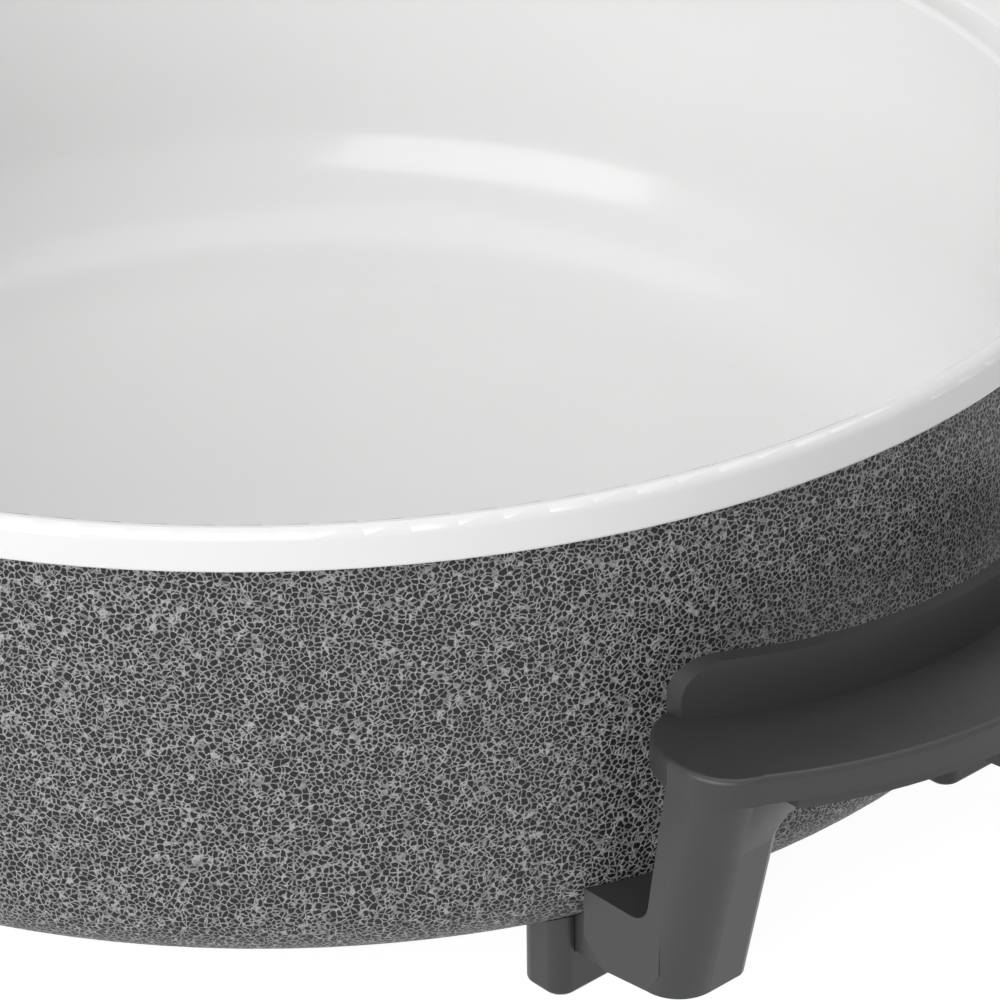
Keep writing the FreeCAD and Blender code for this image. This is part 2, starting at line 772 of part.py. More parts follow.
def hinge_fixed_parts():
    """The bracket on the back of the pan, its screws and the hinge pin."""
    plate = box((-BRACKET_HALF, WALL - 4, 70), (BRACKET_HALF, WALL + 3, 98), "Plate")
    shelf = box((-BRACKET_HALF, WALL - 2, 94), (BRACKET_HALF, HINGE_Y + KNUCKLE - 0.8, 98.5), "Shelf")
    cheeks = []
    for x in SIDES:
        inner, outer = sorted((x * (ARM_HALF + 1), x * BRACKET_HALF))
        cheeks.append(box((inner, RIM + 1.2, 96), (outer, HINGE_Y + KNUCKLE - 0.8, HINGE_Z), "Cheek"))
        cheeks.append(cylinder(KNUCKLE, outer - inner, (inner, HINGE_Y, HINGE_Z), RIGHTWARD))
    pin_hole = cylinder(PIN + 0.05, 80, (-40, HINGE_Y, HINGE_Z), RIGHTWARD)
    wall = cylinder(WALL + 0.15, 120, (0, 0, 10))
    screw_holes = [cylinder(2.2, 20, (x * HINGE_SCREW_SIDE, WALL - 8, HINGE_SCREW_HEIGHT),
                            -FRONTWARD) for x in SIDES]
    bracket = cut(fuse(plate, shelf, *cheeks), wall, fuse(pin_hole, *screw_holes))
    piece("hinge_bracket", bracket)
    screws = []
    for x in SIDES:
        at = (x * HINGE_SCREW_SIDE, WALL - 5, HINGE_SCREW_HEIGHT)
        head_at = (x * HINGE_SCREW_SIDE, WALL + 3, HINGE_SCREW_HEIGHT)
        screws.append(fuse(cylinder(2, 8.5, at, -FRONTWARD), cylinder(3.8, 2.2, head_at, -FRONTWARD)))
    piece("hinge_screws", group(*screws))
    pin_half = BRACKET_HALF + 1
    pin = fuse(cylinder(PIN, 2 * pin_half, (-pin_half, HINGE_Y, HINGE_Z), RIGHTWARD),
               cylinder(4, 1.6, (-pin_half - 1.4, HINGE_Y, HINGE_Z), RIGHTWARD),
               cylinder(3.4, 1.2, (pin_half, HINGE_Y, HINGE_Z), RIGHTWARD))
    piece("hinge_pin", pin)


def stand_open(target):
    """Swing a piece of the shut lid back about the hinge pin to where it rests."""
    hinge = FreeCAD.Vector(0, HINGE_Y.number, HINGE_Z.number)
    swing = FreeCAD.Rotation(RIGHTWARD, -cell("lid_open_angle").number)
    target.Placement = FreeCAD.Placement(FreeCAD.Vector(), swing, hinge) * target.Placement
    return target


LID_LOW = SEAT + 1.9
GLASS_LOW = LID_LOW + 1.4
GLASS_TOP = GLASS_LOW + cell("dome_height")
KNOB_HOLE = 3.5
VENT_REACH = as_size(70)
ARM_SCREW_REACH = as_size(147)
ARM_SCREW_SIDE = 9


def glass_ball():
    """Radius of the sphere that the top of the glass follows."""
    across = cell("glass_radius")
    rise = cell("dome_height") - cell("glass_thickness")
    return (across * across + rise * rise) / (2 * rise)


def dome_height_at(radius):
    """Top of the glass at one radius from the lid's middle."""
    ball = glass_ball()
    return GLASS_TOP - ball + root(ball * ball - as_size(radius) * radius)


def dome_slope_at(radius):
    """Slope of the glass in degrees at one radius from the lid's middle."""
    return math.degrees(math.asin(as_size(radius).number / glass_ball().number))


def lid_glass():
    across = cell("glass_radius")
    ball = glass_ball()
    inner_ball = ball - cell("glass_thickness")
    low_inner = GLASS_TOP - ball + root(inner_ball * inner_ball - across * across)
    body = new_body("lid_glass")
    turned(body, [
        (KNOB_HOLE, GLASS_TOP - ball + root(inner_ball * inner_ball - KNOB_HOLE ** 2)),
        (KNOB_HOLE, dome_height_at(KNOB_HOLE), ball, -1),
        (across, dome_height_at(across)),
        (across, low_inner, inner_ball, 1)])
    holes = [cylinder(4.5, 60, (0, -VENT_REACH, LID_LOW))]
    for x in SIDES:
        holes.append(cylinder(3, 60, (x * ARM_SCREW_SIDE, ARM_SCREW_REACH, LID_LOW)))
    piece("lid_glass", stand_open(cut(body, fuse(*holes))))


def lid_band():
    """The folded steel band round the edge of the glass."""
    edge = cell("lid_radius")
    wall = edge - cell("glass_radius") - 0.05
    top = dome_height_at(cell("glass_radius")) + 0.9
    lap = 5.5
    inner = edge - lap
    sheet_metal = 0.7
    body = turned_piece("lid_band", [
        (inner, LID_LOW), (edge, LID_LOW), (edge, top + 0.3),
        (edge - wall, top + 0.3), (edge - lap, top + 1.2), (edge - lap, top + 0.4),
        (edge - wall, top - 0.6), (edge - wall, LID_LOW + sheet_metal),
        (inner, LID_LOW + sheet_metal)])
    round_edges(body, 0.6, hoop(edge, LID_LOW))
    piece("lid_band", stand_open(body))


def lid_knob_parts():
    """The knob stack: steel washer on the glass, the knob, a seal below and the screw."""
    crown = dome_height_at(0)
    washer = turned_piece("knob_washer", [
        (KNOB_HOLE + 0.3, crown + 0.2), (24, crown - 1.2), (24, crown + 0.1), (21, crown + 2),
        (KNOB_HOLE + 0.3, crown + 2)])
    piece("knob_washer", stand_open(washer))
    base = crown + 2.2
    knob = turned_piece("lid_knob", [
        (0, base + 4), (2.2, base + 4), (2.2, base), (17, base), (15, base + 3),
        (12.5, base + 12), (15, base + 21), (25, base + 27), (27, base + 30),
        (26.5, base + 33), (20, base + 36.5), (0, base + 38)])
    round_edges(knob, 6, hoop(as_size(12.5), base + 12))
    round_edges(knob, 4, hoop(as_size(15), base + 21))
    round_edges(knob, 1.2, hoop(as_size(26.5), base + 33))
    round_edges(knob, 5, hoop(as_size(20), base + 36.5))
    round_edges(knob, 1.2, hoop(as_size(27), base + 30))
    threaded = cut(knob, cylinder(2, 16, (0, 0, base)))
    piece("lid_knob", stand_open(threaded))
    under = crown - cell("glass_thickness")
    seal = cut(cylinder(9, 1.4, (0, 0, under - 1.6)), cylinder(2.3, 4, (0, 0, under - 3)))
    piece("knob_seal", stand_open(seal))
    screw = fuse(cylinder(6, 2.2, (0, 0, under - 3.9)), cylinder(1.95, 24, (0, 0, under - 2)))
    piece("knob_screw", stand_open(screw))


def vent_grommet():
    """A steel eyelet through the glass that lets steam out."""
    under = -cell("glass_thickness")
    body = turned_piece("vent", [
        (2.5, under - 2.6), (7, under - 2.6), (7, under - 1.4), (4.0, under - 1.2), (4.0, 0.9),
        (7.5, 1.0), (7.0, 2.0), (4.5, 2.6), (2.5, 2.2)])
    body.Placement = FreeCAD.Placement(
        FreeCAD.Vector(0, -VENT_REACH.number, dome_height_at(VENT_REACH).number),
        FreeCAD.Rotation(RIGHTWARD, dome_slope_at(VENT_REACH)))
    piece("vent_grommet", stand_open(body))


def on_glass(target, aside, lift):
    """Lean a piece drawn about the origin onto the glass at the hinge arm's screws."""
    slope = dome_slope_at(ARM_SCREW_REACH)
    seat = FreeCAD.Vector(aside, ARM_SCREW_REACH.number, dome_height_at(ARM_SCREW_REACH).number)
    lean = FreeCAD.Placement(seat, FreeCAD.Rotation(RIGHTWARD, -slope))
    target.Placement = lean * FreeCAD.Placement(FreeCAD.Vector(0, 0, lift), FreeCAD.Rotation())
    return target


def hinge_arm_parts():
    """The arm that joins the glass to the hinge pin, with its pads and screws."""
    pad_height = 1.8
    plate_thickness = 2.4
    plate_body = rounded_block("arm_plate", (-ARM_HALF, -9, 0), (ARM_HALF, 17, plate_thickness), 4)
    plate = on_glass(plate_body, 0, pad_height + 0.3)
    neck = box((-ARM_HALF, HINGE_Y - 18, HINGE_Z - 6), (ARM_HALF, HINGE_Y, HINGE_Z - 1), "Neck")
    hub = cylinder(KNUCKLE, 2 * ARM_HALF, (-ARM_HALF, HINGE_Y, HINGE_Z), RIGHTWARD)
    pin_hole = cylinder(PIN + 0.05, 80, (-40, HINGE_Y, HINGE_Z), RIGHTWARD)
    passages = []
    pads = []
    screws = []
    under = -cell("glass_thickness").number
    for x in SIDES:
        side = x * ARM_SCREW_SIDE
        passages.append(on_glass(group(cylinder(2.2, 12, (0, 0, 0))), side, -2))
        ring = cut(cylinder(5, pad_height, (0, 0, 0)), cylinder(2.2, 4, (0, 0, -1)))
        lower_ring = cut(cylinder(5, 1.2, (0, 0, 0)), cylinder(2.2, 4, (0, 0, -1)))
        pads.append(on_glass(ring, side, 0.2))
        pads.append(on_glass(lower_ring, side, under - 1.45))
        length = pad_height + plate_thickness - under + 4.2
        shank = cylinder(1.95, length, (0, 0, 0))
        head = cylinder(3.6, 1.8, (0, 0, length - 0.1))
        nut = cylinder(3.6, 2.2, (0, 0, 0))
        screws.append(on_glass(fuse(shank, head, nut), side, under - 3.7))
    arm = cut(fuse(plate, neck, hub), pin_hole, fuse(*passages))
    piece("lid_hinge_arm", stand_open(arm))
    piece("arm_pads", stand_open(group(*pads)))
    piece("arm_screws", stand_open(group(*screws)))


CASE_HALF = cell("case_width") / 2
CASE_LOW = cell("case_low")
CASE_HIGH = cell("case_high")
CASE_WALL = cell("case_wall")
CASE_SPLIT = as_size(17)
NOSE_START = cell("boss_front") + 4.6
DIAL_Y = cell("dial_reach")
SHAFT_RADIUS = as_size(3)
LENS_Y = 203
GLAND_RADIUS = 6
CASE_SCREW_SIDE = 21.5
CASE_SCREW_Y = 259


def control_case():
    """The probe's case: a nose that enters the guard and a body, split level into two shells."""
    nose_half = cell("guard_width") / 2 - 2.6
    nose_low = cell("guard_low") + 2.6
    nose_high = cell("guard_high") - 2.6
    shoulder = cell("case_front")
    body_block = mouth_block("case", CASE_HALF, CASE_LOW, CASE_HIGH, shoulder, cell("case_back"), 8)
    round_edges(body_block, 3, lambda edge: edge.BoundBox.YLength < 0.02
                and edge.BoundBox.YMin < 1 - cell("case_back").number)
    nose_block = mouth_block("nose", nose_half, nose_low, nose_high, NOSE_START, shoulder + 1, 3)
    body_room = mouth_block("case_room", CASE_HALF - CASE_WALL, CASE_LOW + CASE_WALL,
                            CASE_HIGH - CASE_WALL, shoulder + CASE_WALL,
                            cell("case_back") - CASE_WALL, 6)
    nose_room = mouth_block("nose_room", nose_half - CASE_WALL, nose_low + CASE_WALL,
                            nose_high - CASE_WALL, NOSE_START + CASE_WALL,
                            shoulder + CASE_WALL + 1, 2)
    hollow = cut(fuse(body_block, nose_block), fuse(body_room, nose_room))
    posts = []
    bores = []
    for x in SIDES:
        at = (x * CASE_SCREW_SIDE, -CASE_SCREW_Y)
        posts.append(cylinder(3.9, CASE_HIGH - CASE_LOW - 2, at + (CASE_LOW + 1,)))
        bores.append(cylinder(1.5, 26, at + (CASE_LOW - 1,)))
        bores.append(cylinder(3.1, 4, at + (CASE_LOW - 1,)))
        bores.append(cylinder(cell("pin_radius") + 0.6, 6, (x * PIN_SIDE, -NOSE_START + 1, HEATER),
                              FRONTWARD))
    bores.append(cylinder(ROD_RADIUS + 0.2, 6, (0, -NOSE_START + 1, HEATER), FRONTWARD))
    bores.append(cylinder(SHAFT_RADIUS + 0.06, 10, (0, -DIAL_Y, CASE_HIGH - 6)))
    bores.append(cylinder(4.1, 10, (0, -LENS_Y, CASE_HIGH - 6)))
    bores.append(cylinder(GLAND_RADIUS + 0.05, 10, (0, 4 - cell("case_back"), CASE_SPLIT),
                          FRONTWARD))
    whole = cut(fuse(hollow, *posts), fuse(*bores))
    reach_low = (-60, -300, 0)
    reach_high = (60, -150, 60)
    for name, low, high in (("control_case_base", 0, CASE_SPLIT), ("control_case_top", CASE_SPLIT, 60)):
        keep = box((reach_low[0], reach_low[1], low), (reach_high[0], reach_high[1], high), "Keep")
        half = doc.addObject("Part::Common", "Half")
        half.Base = whole
        half.Tool = keep
        piece(name, half)
    screws = []
    for x in SIDES:
        at = (x * CASE_SCREW_SIDE, -CASE_SCREW_Y)
        screws.append(fuse(cylinder(1.45, 20, at + (CASE_LOW + 2.5,)),
                           cylinder(2.9, 1.8, at + (CASE_LOW + 1.1,))))
    piece("case_screws", group(*screws))


def probe_and_contacts():
    """The temperature rod and the two sockets that fit the pan's terminal pins."""
    tip_y = cell("boss_front") + 5 - SLEEVE_LENGTH + 1
    anchor_y = 206
    rod = cylinder(ROD_RADIUS, anchor_y - tip_y, (0, -tip_y, HEATER), FRONTWARD)
    tip = cone(ROD_RADIUS, ROD_RADIUS - 1.2, 2, (0, -tip_y, HEATER), -FRONTWARD)
    piece("probe_rod", fuse(rod, tip))
    sockets = []
    for x in SIDES:
        start = NOSE_START + CASE_WALL + 0.2
        tube = cylinder(3.2, 19, (x * PIN_SIDE, -start, HEATER), FRONTWARD)
        bore = cylinder(cell("pin_radius") + 0.06, 17, (x * PIN_SIDE, 0.5 - start, HEATER),
                        FRONTWARD)
        sockets.append(cut(tube, bore))
    piece("contact_sockets", group(*sockets))


def thermostat():
    """The switch inside the case: bracket, insulator, bimetal blade and contact blade."""
    base = box((-9, -250, CASE_LOW + CASE_WALL), (9, -208, CASE_LOW + CASE_WALL + 1.2), "Base")
    upright_plate = box((-9, -208, CASE_LOW + CASE_WALL), (9, -206.4, 20), "Upright")
    rod_hole = cylinder(ROD_RADIUS + 0.05, 6, (0, -204, HEATER), FRONTWARD)
    piece("thermostat_bracket", cut(fuse(base, upright_plate), rod_hole))
    stack_top = 22
    stack = box((-5, -249, CASE_LOW + CASE_WALL + 1.3), (5, -242, stack_top), "Stack")
    bimetal_slot = box((-6, -243.5, 12.9), (6, -241, 13.7), "BladeSlot")
    contact_slot = box((-6, -243.5, 17.9), (6, -241, 18.6), "BladeSlot")
    piece("insulator_stack", cut(stack, bimetal_slot, contact_slot))
    piece("bimetal_blade", box((-4, -243.4, 13), (4, -213, 13.6), "Blade"))
    spring_arm = box((-3, -243.4, 18), (3, -216, 18.4), "Blade")
    contact_point = cylinder(1.6, 3.2, (0, -219, 14.8))
    piece("contact_blade", fuse(spring_arm, contact_point))
    lamp = cylinder(2.4, 7.6, (0, -LENS_Y, 23))
    lamp_foot = cylinder(3.2, 1.2, (0, -LENS_Y, 21.8))
    piece("indicator_lamp", fuse(lamp, lamp_foot))
    lens_body = turned_piece("lens", [
        (0, CASE_HIGH - CASE_WALL - 0.4), (5, CASE_HIGH - CASE_WALL - 1.4),
        (5, CASE_HIGH - CASE_WALL - 0.1), (4, CASE_HIGH - CASE_WALL - 0.1),
        (4, CASE_HIGH + 0.4), (2.4, CASE_HIGH + 1.2), (0, CASE_HIGH + 1.5)])
    lens_body.Placement = FreeCAD.Placement(FreeCAD.Vector(0, -LENS_Y, 0), FreeCAD.Rotation())
    piece("indicator_lens", lens_body)


def cord_gland():
    """The bush at the back of the case that a supply cord would pass through."""
    start = cell("case_back") - 8
    barrel = cylinder(GLAND_RADIUS, cell("gland_length"), (0, -start, CASE_SPLIT), FRONTWARD)
    inside_flange = cylinder(8.5, 2, (0, -start - 3.4, CASE_SPLIT), FRONTWARD)
    outside_flange = cylinder(8.5, 2.4, (0, -cell("case_back") - 0.2, CASE_SPLIT), FRONTWARD)
    bore = cylinder(3.4, cell("gland_length") + 10, (0, -start + 2, CASE_SPLIT), FRONTWARD)
    piece("cord_gland", cut(fuse(barrel, inside_flange, outside_flange), bore))


def control_dial():
    """The dial with a raised finger bar, and the shaft that it turns."""
    low = CASE_HIGH + 0.6
    radius = cell("dial_radius")
    top = CASE_HIGH + cell("dial_height")
    skirt = turned_piece("dial_skirt", [
        (0, low), (radius, low), (radius, low + 2.4), (radius - 4.5, low + 4.6), (0, low + 4.6)])
    round_edges(skirt, 0.8, hoop(radius, low + 2.4))
    bar = rounded_block("dial_bar", (-4.2, -17.5, low + 3), (4.2, 17.5, top), 4)
    round_edges(bar, 1.4, level_at(top))
    skirt.Placement = FreeCAD.Placement(FreeCAD.Vector(0, -DIAL_Y.number, 0), FreeCAD.Rotation())
    bar.Placement = FreeCAD.Placement(FreeCAD.Vector(0, -DIAL_Y.number, 0), FreeCAD.Rotation())
    socket = cylinder(SHAFT_RADIUS, 8, (0, -DIAL_Y, CASE_HIGH - 1))
    piece("control_dial", cut(fuse(skirt, bar), socket))
    shaft_low = 18.8
    shaft = cylinder(SHAFT_RADIUS, CASE_HIGH + 6.9 - shaft_low, (0, -DIAL_Y, shaft_low))
    collar = cylinder(4.6, 1.6, (0, -DIAL_Y, CASE_HIGH - CASE_WALL - 2.2))
    piece("dial_shaft", fuse(shaft, collar))


def check_and_write():
    doc.recompute()
    failed = [item.Label for item in doc.Objects
              if "Invalid" in item.State or "Error" in item.State]
    if failed:
        raise RuntimeError(f"failed features: {failed}")
    os.makedirs("parts", exist_ok=True)
    for name, target in PIECES.items():
        shape = target.Shape
        if shape.isNull() or not shape.isValid() or not shape.Solids:
            raise RuntimeError(f"{name} has no valid solid")
        shape.exportStep(f"parts/{name}.step")
        print(f"{name}: {len(shape.Solids)} solid, {shape.Volume / 1000:.2f} cm3")


pan_casting()
heating_parts()
terminal_guard()
for handle_side, turn in (("right", 0), ("left", 180)):
    grip(handle_side, turn)
    frame(handle_side, turn)
    grip_screws(handle_side, turn)
feet()
hinge_fixed_parts()
lid_glass()
lid_band()
lid_knob_parts()
vent_grommet()
hinge_arm_parts()
control_case()
probe_and_contacts()
thermostat()
cord_gland()
control_dial()
check_and_write()
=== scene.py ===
import math

import bmesh
import bpy
from mathutils import Matrix, Vector


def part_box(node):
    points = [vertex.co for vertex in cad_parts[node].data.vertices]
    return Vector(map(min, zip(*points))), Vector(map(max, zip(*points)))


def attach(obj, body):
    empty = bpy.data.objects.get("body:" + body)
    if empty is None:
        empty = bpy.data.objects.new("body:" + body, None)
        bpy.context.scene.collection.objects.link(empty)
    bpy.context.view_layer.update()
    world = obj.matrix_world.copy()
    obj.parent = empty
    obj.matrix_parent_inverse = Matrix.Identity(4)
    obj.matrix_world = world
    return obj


# Round electric skillet seen from close above its right handle: white coated bowl, hammertone
# outside, satin black grip and legs. Metres, Z up, origin on the table under the pan's middle.

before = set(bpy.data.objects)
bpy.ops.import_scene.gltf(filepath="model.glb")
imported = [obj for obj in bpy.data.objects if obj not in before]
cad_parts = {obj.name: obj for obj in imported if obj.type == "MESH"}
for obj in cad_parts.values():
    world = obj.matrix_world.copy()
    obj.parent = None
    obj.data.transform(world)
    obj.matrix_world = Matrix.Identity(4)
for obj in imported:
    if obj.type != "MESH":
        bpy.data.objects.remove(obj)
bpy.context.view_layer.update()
MM = 0.001


class Flow:
    """A shader value with ordinary maths, so that a pattern reads as a formula."""

    def __init__(self, tree, socket):
        self.tree = tree
        self.socket = socket

    def maths(self, operation, *others, swap=False):
        node = self.tree.nodes.new("ShaderNodeMath")
        node.operation = operation
        values = [self, *others]
        if swap:
            values.reverse()
        for index, value in enumerate(values):
            feed(self.tree, value, node.inputs[index])
        return Flow(self.tree, node.outputs[0])

    def __add__(self, other):
        return self.maths("ADD", other)

    def __radd__(self, other):
        return self.maths("ADD", other, swap=True)

    def __sub__(self, other):
        return self.maths("SUBTRACT", other)

    def __rsub__(self, other):
        return self.maths("SUBTRACT", other, swap=True)

    def __mul__(self, other):
        return self.maths("MULTIPLY", other)

    def __rmul__(self, other):
        return self.maths("MULTIPLY", other, swap=True)

    def __gt__(self, other):
        return self.maths("GREATER_THAN", other)

    def __lt__(self, other):
        return self.maths("LESS_THAN", other)

    def either(self, other):
        return self.maths("MAXIMUM", other)

    def power(self, other):
        return self.maths("POWER", other)

    def ramp(self, low, high):
        """Nought below low, one above high, and smooth between them."""
        node = self.tree.nodes.new("ShaderNodeMapRange")
        node.interpolation_type = "SMOOTHSTEP"
        node.inputs["From Min"].default_value = low
        node.inputs["From Max"].default_value = high
        feed(self.tree, self, node.inputs["Value"])
        return Flow(self.tree, node.outputs["Result"])


def feed(tree, value, socket):
    if isinstance(value, Flow):
        tree.links.new(value.socket, socket)
    else:
        socket.default_value = value


class Finish:
    """One material: its shader, and short ways to make the patterns that vary it."""

    def __init__(self, name, **constants):
        self.material = bpy.data.materials.new(name)
        self.material.use_nodes = True
        self.tree = self.material.node_tree
        self.shader = self.tree.nodes["Principled BSDF"]
        for socket, value in constants.items():
            self.set(socket.replace("_", " "), value)

    def set(self, socket, value):
        feed(self.tree, value, self.shader.inputs[socket])

    def node(self, kind, output, settings=None, **inputs):
        made = self.tree.nodes.new(kind)
        for prop, value in (settings or {}).items():
            setattr(made, prop, value)
        for socket, value in inputs.items():
            feed(self.tree, value, made.inputs[socket.replace("_", " ")])
        return Flow(self.tree, made.outputs[output])

    def place(self):
        return self.node("ShaderNodeTexCoord", "Object")

    def stretched(self, along):
        """Object coordinates scaled per axis, for a grain that runs one way."""
        return self.node("ShaderNodeMapping", "Vector", Vector=self.place(), Scale=along)

    def noise(self, scale, detail=3.0, vector=None, roughness=0.5):
        return self.node("ShaderNodeTexNoise", "Fac", Vector=vector or self.place(),
                         Scale=scale, Detail=detail, Roughness=roughness)

    def axes(self):
        split = self.tree.nodes.new("ShaderNodeSeparateXYZ")
        feed(self.tree, self.place(), split.inputs[0])
        return [Flow(self.tree, socket) for socket in split.outputs]

    def blend(self, amount, first, second):
        """A colour between two colours."""
        mix = self.tree.nodes.new("ShaderNodeMix")
        mix.data_type = "RGBA"
        feed(self.tree, amount, mix.inputs[0])
        feed(self.tree, first, mix.inputs[6])
        feed(self.tree, second, mix.inputs[7])
        return Flow(self.tree, mix.outputs[2])

    def warped(self, scale, reach):
        """Object coordinates pushed about by a noise, so that a pattern loses its regularity."""
        push = self.node("ShaderNodeTexNoise", "Color", Vector=self.place(), Scale=scale, Detail=2.0)
        add = self.tree.nodes.new("ShaderNodeVectorMath")
        add.operation = "MULTIPLY_ADD"
        feed(self.tree, push, add.inputs[0])
        add.inputs[1].default_value = (reach, reach, reach)
        feed(self.tree, self.place(), add.inputs[2])
        return Flow(self.tree, add.outputs[0])

    def relief(self, height, depth):
        self.set("Normal", self.node("ShaderNodeBump", "Normal", Height=height, Distance=depth,
                                     Strength=1.0))


def grey(level, warmth=0.0):
    return (level + warmth, level, level - warmth, 1.0)


UNDERSIDE_TOP = 17 * MM
CORNER_TOP = 31 * MM
CORNER_INSIDE = 155.5 * MM
BAND_UNDERSIDE = 102.9 * MM
WALL_INSIDE = 160 * MM


def pan_coating():
    """White glossy coating in the bowl and on the rim band, hammertone paint elsewhere."""
    finish = Finish("pan_coating", IOR=1.5, Specular_IOR_Level=0.35, Coat_Roughness=0.1)
    across, along, up = finish.axes()
    radius = (across * across + along * along).power(0.5)
    under = up < UNDERSIDE_TOP
    corner = (up < CORNER_TOP) * (radius > CORNER_INSIDE)
    wall = (up < BAND_UNDERSIDE) * (radius > WALL_INSIDE)
    outside = under.either(corner).either(wall)
    cells = finish.node("ShaderNodeTexVoronoi", "Distance", {"feature": "DISTANCE_TO_EDGE"},
                        Vector=finish.warped(700.0, 1.1 * MM), Scale=900.0)
    vein = 1.0 - cells.ramp(0.02, 0.17)
    patchy = finish.noise(620.0, 3.0).ramp(0.35, 0.65)
    vein = vein * (0.55 + 0.45 * patchy)
    hammer = finish.blend(vein, grey(0.010), grey(0.42))
    drift = finish.noise(14.0, 2.0)
    ceramic = finish.blend(drift, grey(0.80, 0.002), grey(0.83, 0.002))
    finish.set("Base Color", finish.blend(outside, ceramic, hammer))
    finish.set("Roughness", 0.16 + outside * 0.34 + finish.noise(60.0) * 0.05)
    finish.set("Coat Weight", 0.2 - outside * 0.18)
    orange_peel = finish.noise(220.0, 2.0)
    finish.relief(vein * outside + orange_peel * 0.03, 0.16 * MM)
    return finish.material


def moulded(name, level, roughness, texture=0.02 * MM, scale=1400.0):
    """Moulded plastic with a faint skin and slightly uneven gloss."""
    finish = Finish(name, IOR=1.5)
    cloud = finish.noise(45.0, 3.0)
    finish.set("Base Color", finish.blend(cloud, grey(level * 0.9), grey(level * 1.12)))
    finish.set("Roughness", roughness - 0.04 + cloud * 0.09)
    finish.relief(finish.noise(scale, 2.0), texture)
    return finish.material


def brushed(name, level, warmth=0.0, roughness=0.3, along=(30.0, 900.0, 900.0)):
    """Metal with a fine grain in one direction."""
    finish = Finish(name, Metallic=1.0)
    grain = finish.noise(1.0, 4.0, finish.stretched(along))
    finish.set("Base Color", finish.blend(grain, grey(level * 0.92, warmth), grey(level, warmth)))
    finish.set("Roughness", roughness - 0.06 + grain * 0.14)
    finish.relief(grain, 0.01 * MM)
    return finish.material


def clear(name, tint, roughness=0.0):
    finish = Finish(name, IOR=1.5, Transmission_Weight=1.0)
    film = finish.noise(30.0, 2.0)
    paler = tuple(channel * 0.985 for channel in tint[:3]) + (1.0,)
    finish.set("Base Color", finish.blend(film, tint, paler))
    finish.set("Roughness", roughness + film * 0.015)
    return finish.material


def printed_paint():
    finish = Finish("dial_paint", IOR=1.5)
    cloud = finish.noise(300.0)
    finish.set("Base Color", finish.blend(cloud, grey(0.72), grey(0.8)))
    finish.set("Roughness", 0.4 + cloud * 0.1)
    return finish.material


def seen_by_eye(tree):
    """One for rays that show a surface, also in a reflection or through glass."""
    rays = tree.nodes.new("ShaderNodeLightPath")
    seen = Flow(tree, rays.outputs["Is Camera Ray"])
    for name in ("Is Glossy Ray", "Is Transmission Ray"):
        seen = seen.either(Flow(tree, rays.outputs[name]))
    return seen


TABLE_GLOW = 1.17
TABLE_GLOW_SHARE = 0.82


def table_top():
    """White table that shows as the white background, and keeps a soft contact shadow."""
    finish = Finish("white_table", Base_Color=grey(0.86), Roughness=0.9)
    lit = finish.tree.nodes.new("ShaderNodeEmission")
    lit.inputs["Strength"].default_value = TABLE_GLOW
    mix = finish.tree.nodes.new("ShaderNodeMixShader")
    feed(finish.tree, seen_by_eye(finish.tree) * TABLE_GLOW_SHARE, mix.inputs[0])
    finish.tree.links.new(finish.shader.outputs[0], mix.inputs[1])
    finish.tree.links.new(lit.outputs[0], mix.inputs[2])
    output = finish.tree.nodes["Material Output"]
    finish.tree.links.new(mix.outputs[0], output.inputs["Surface"])
    return finish.material


SKIN = {
    "pan": pan_coating(),
    "phenolic": moulded("phenolic", 0.036, 0.36),
    "steel": brushed("brushed_steel", 0.62, 0.005),
    "aluminium": brushed("satin_aluminium", 0.7, 0.0, 0.38),
    "glass": clear("tempered_glass", (0.97, 0.99, 0.98, 1.0)),
    "rubber": moulded("black_rubber", 0.025, 0.7, 0.03 * MM),
    "case": moulded("case_plastic", 0.04, 0.5, 0.07 * MM, 2200.0),
    "dial": moulded("dial_plastic", 0.045, 0.3),
    "brass": brushed("contact_brass", 0.62, 0.14, 0.3),
    "ceramic": moulded("insulator_ceramic", 0.78, 0.35),
    "lamp": clear("lamp_glass", (0.98, 0.75, 0.55, 1.0)),
    "lens": clear("red_lens", (0.75, 0.04, 0.02, 1.0), 0.08),
    "paint": printed_paint(),
}

NODE_SKIN = {
    "pan": ["pan_casting"],
    "phenolic": ["handle_grip_right", "handle_grip_left", "handle_frame_right",
                 "handle_frame_left", "foot_front_right", "foot_rear_right",
                 "foot_front_left", "foot_rear_left", "lid_knob"],
    "aluminium": ["terminal_guard"],
    "glass": ["lid_glass"],
    "rubber": ["knob_seal", "arm_pads", "cord_gland"],
    "case": ["control_case_base", "control_case_top"],
    "dial": ["control_dial"],
    "brass": ["contact_sockets", "contact_blade"],
    "ceramic": ["insulator_stack"],
    "lamp": ["indicator_lamp"],
    "lens": ["indicator_lens"],
}


def dress_cad_nodes():
    skin_of = {node: skin for skin, nodes in NODE_SKIN.items() for node in nodes}
    for name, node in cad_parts.items():
        node.data.materials.clear()
        node.data.materials.append(SKIN[skin_of.get(name, "steel")])


def finished(name, shape, skin, body):
    """Turn a bmesh into a piece that rides on a body."""
    bmesh.ops.recalc_face_normals(shape, faces=shape.faces)
    mesh = bpy.data.meshes.new(name)
    shape.to_mesh(mesh)
    shape.free()
    piece = bpy.data.objects.new(name, mesh)
    bpy.context.scene.collection.objects.link(piece)
    mesh.materials.append(SKIN[skin])
    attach(piece, body)
    return piece


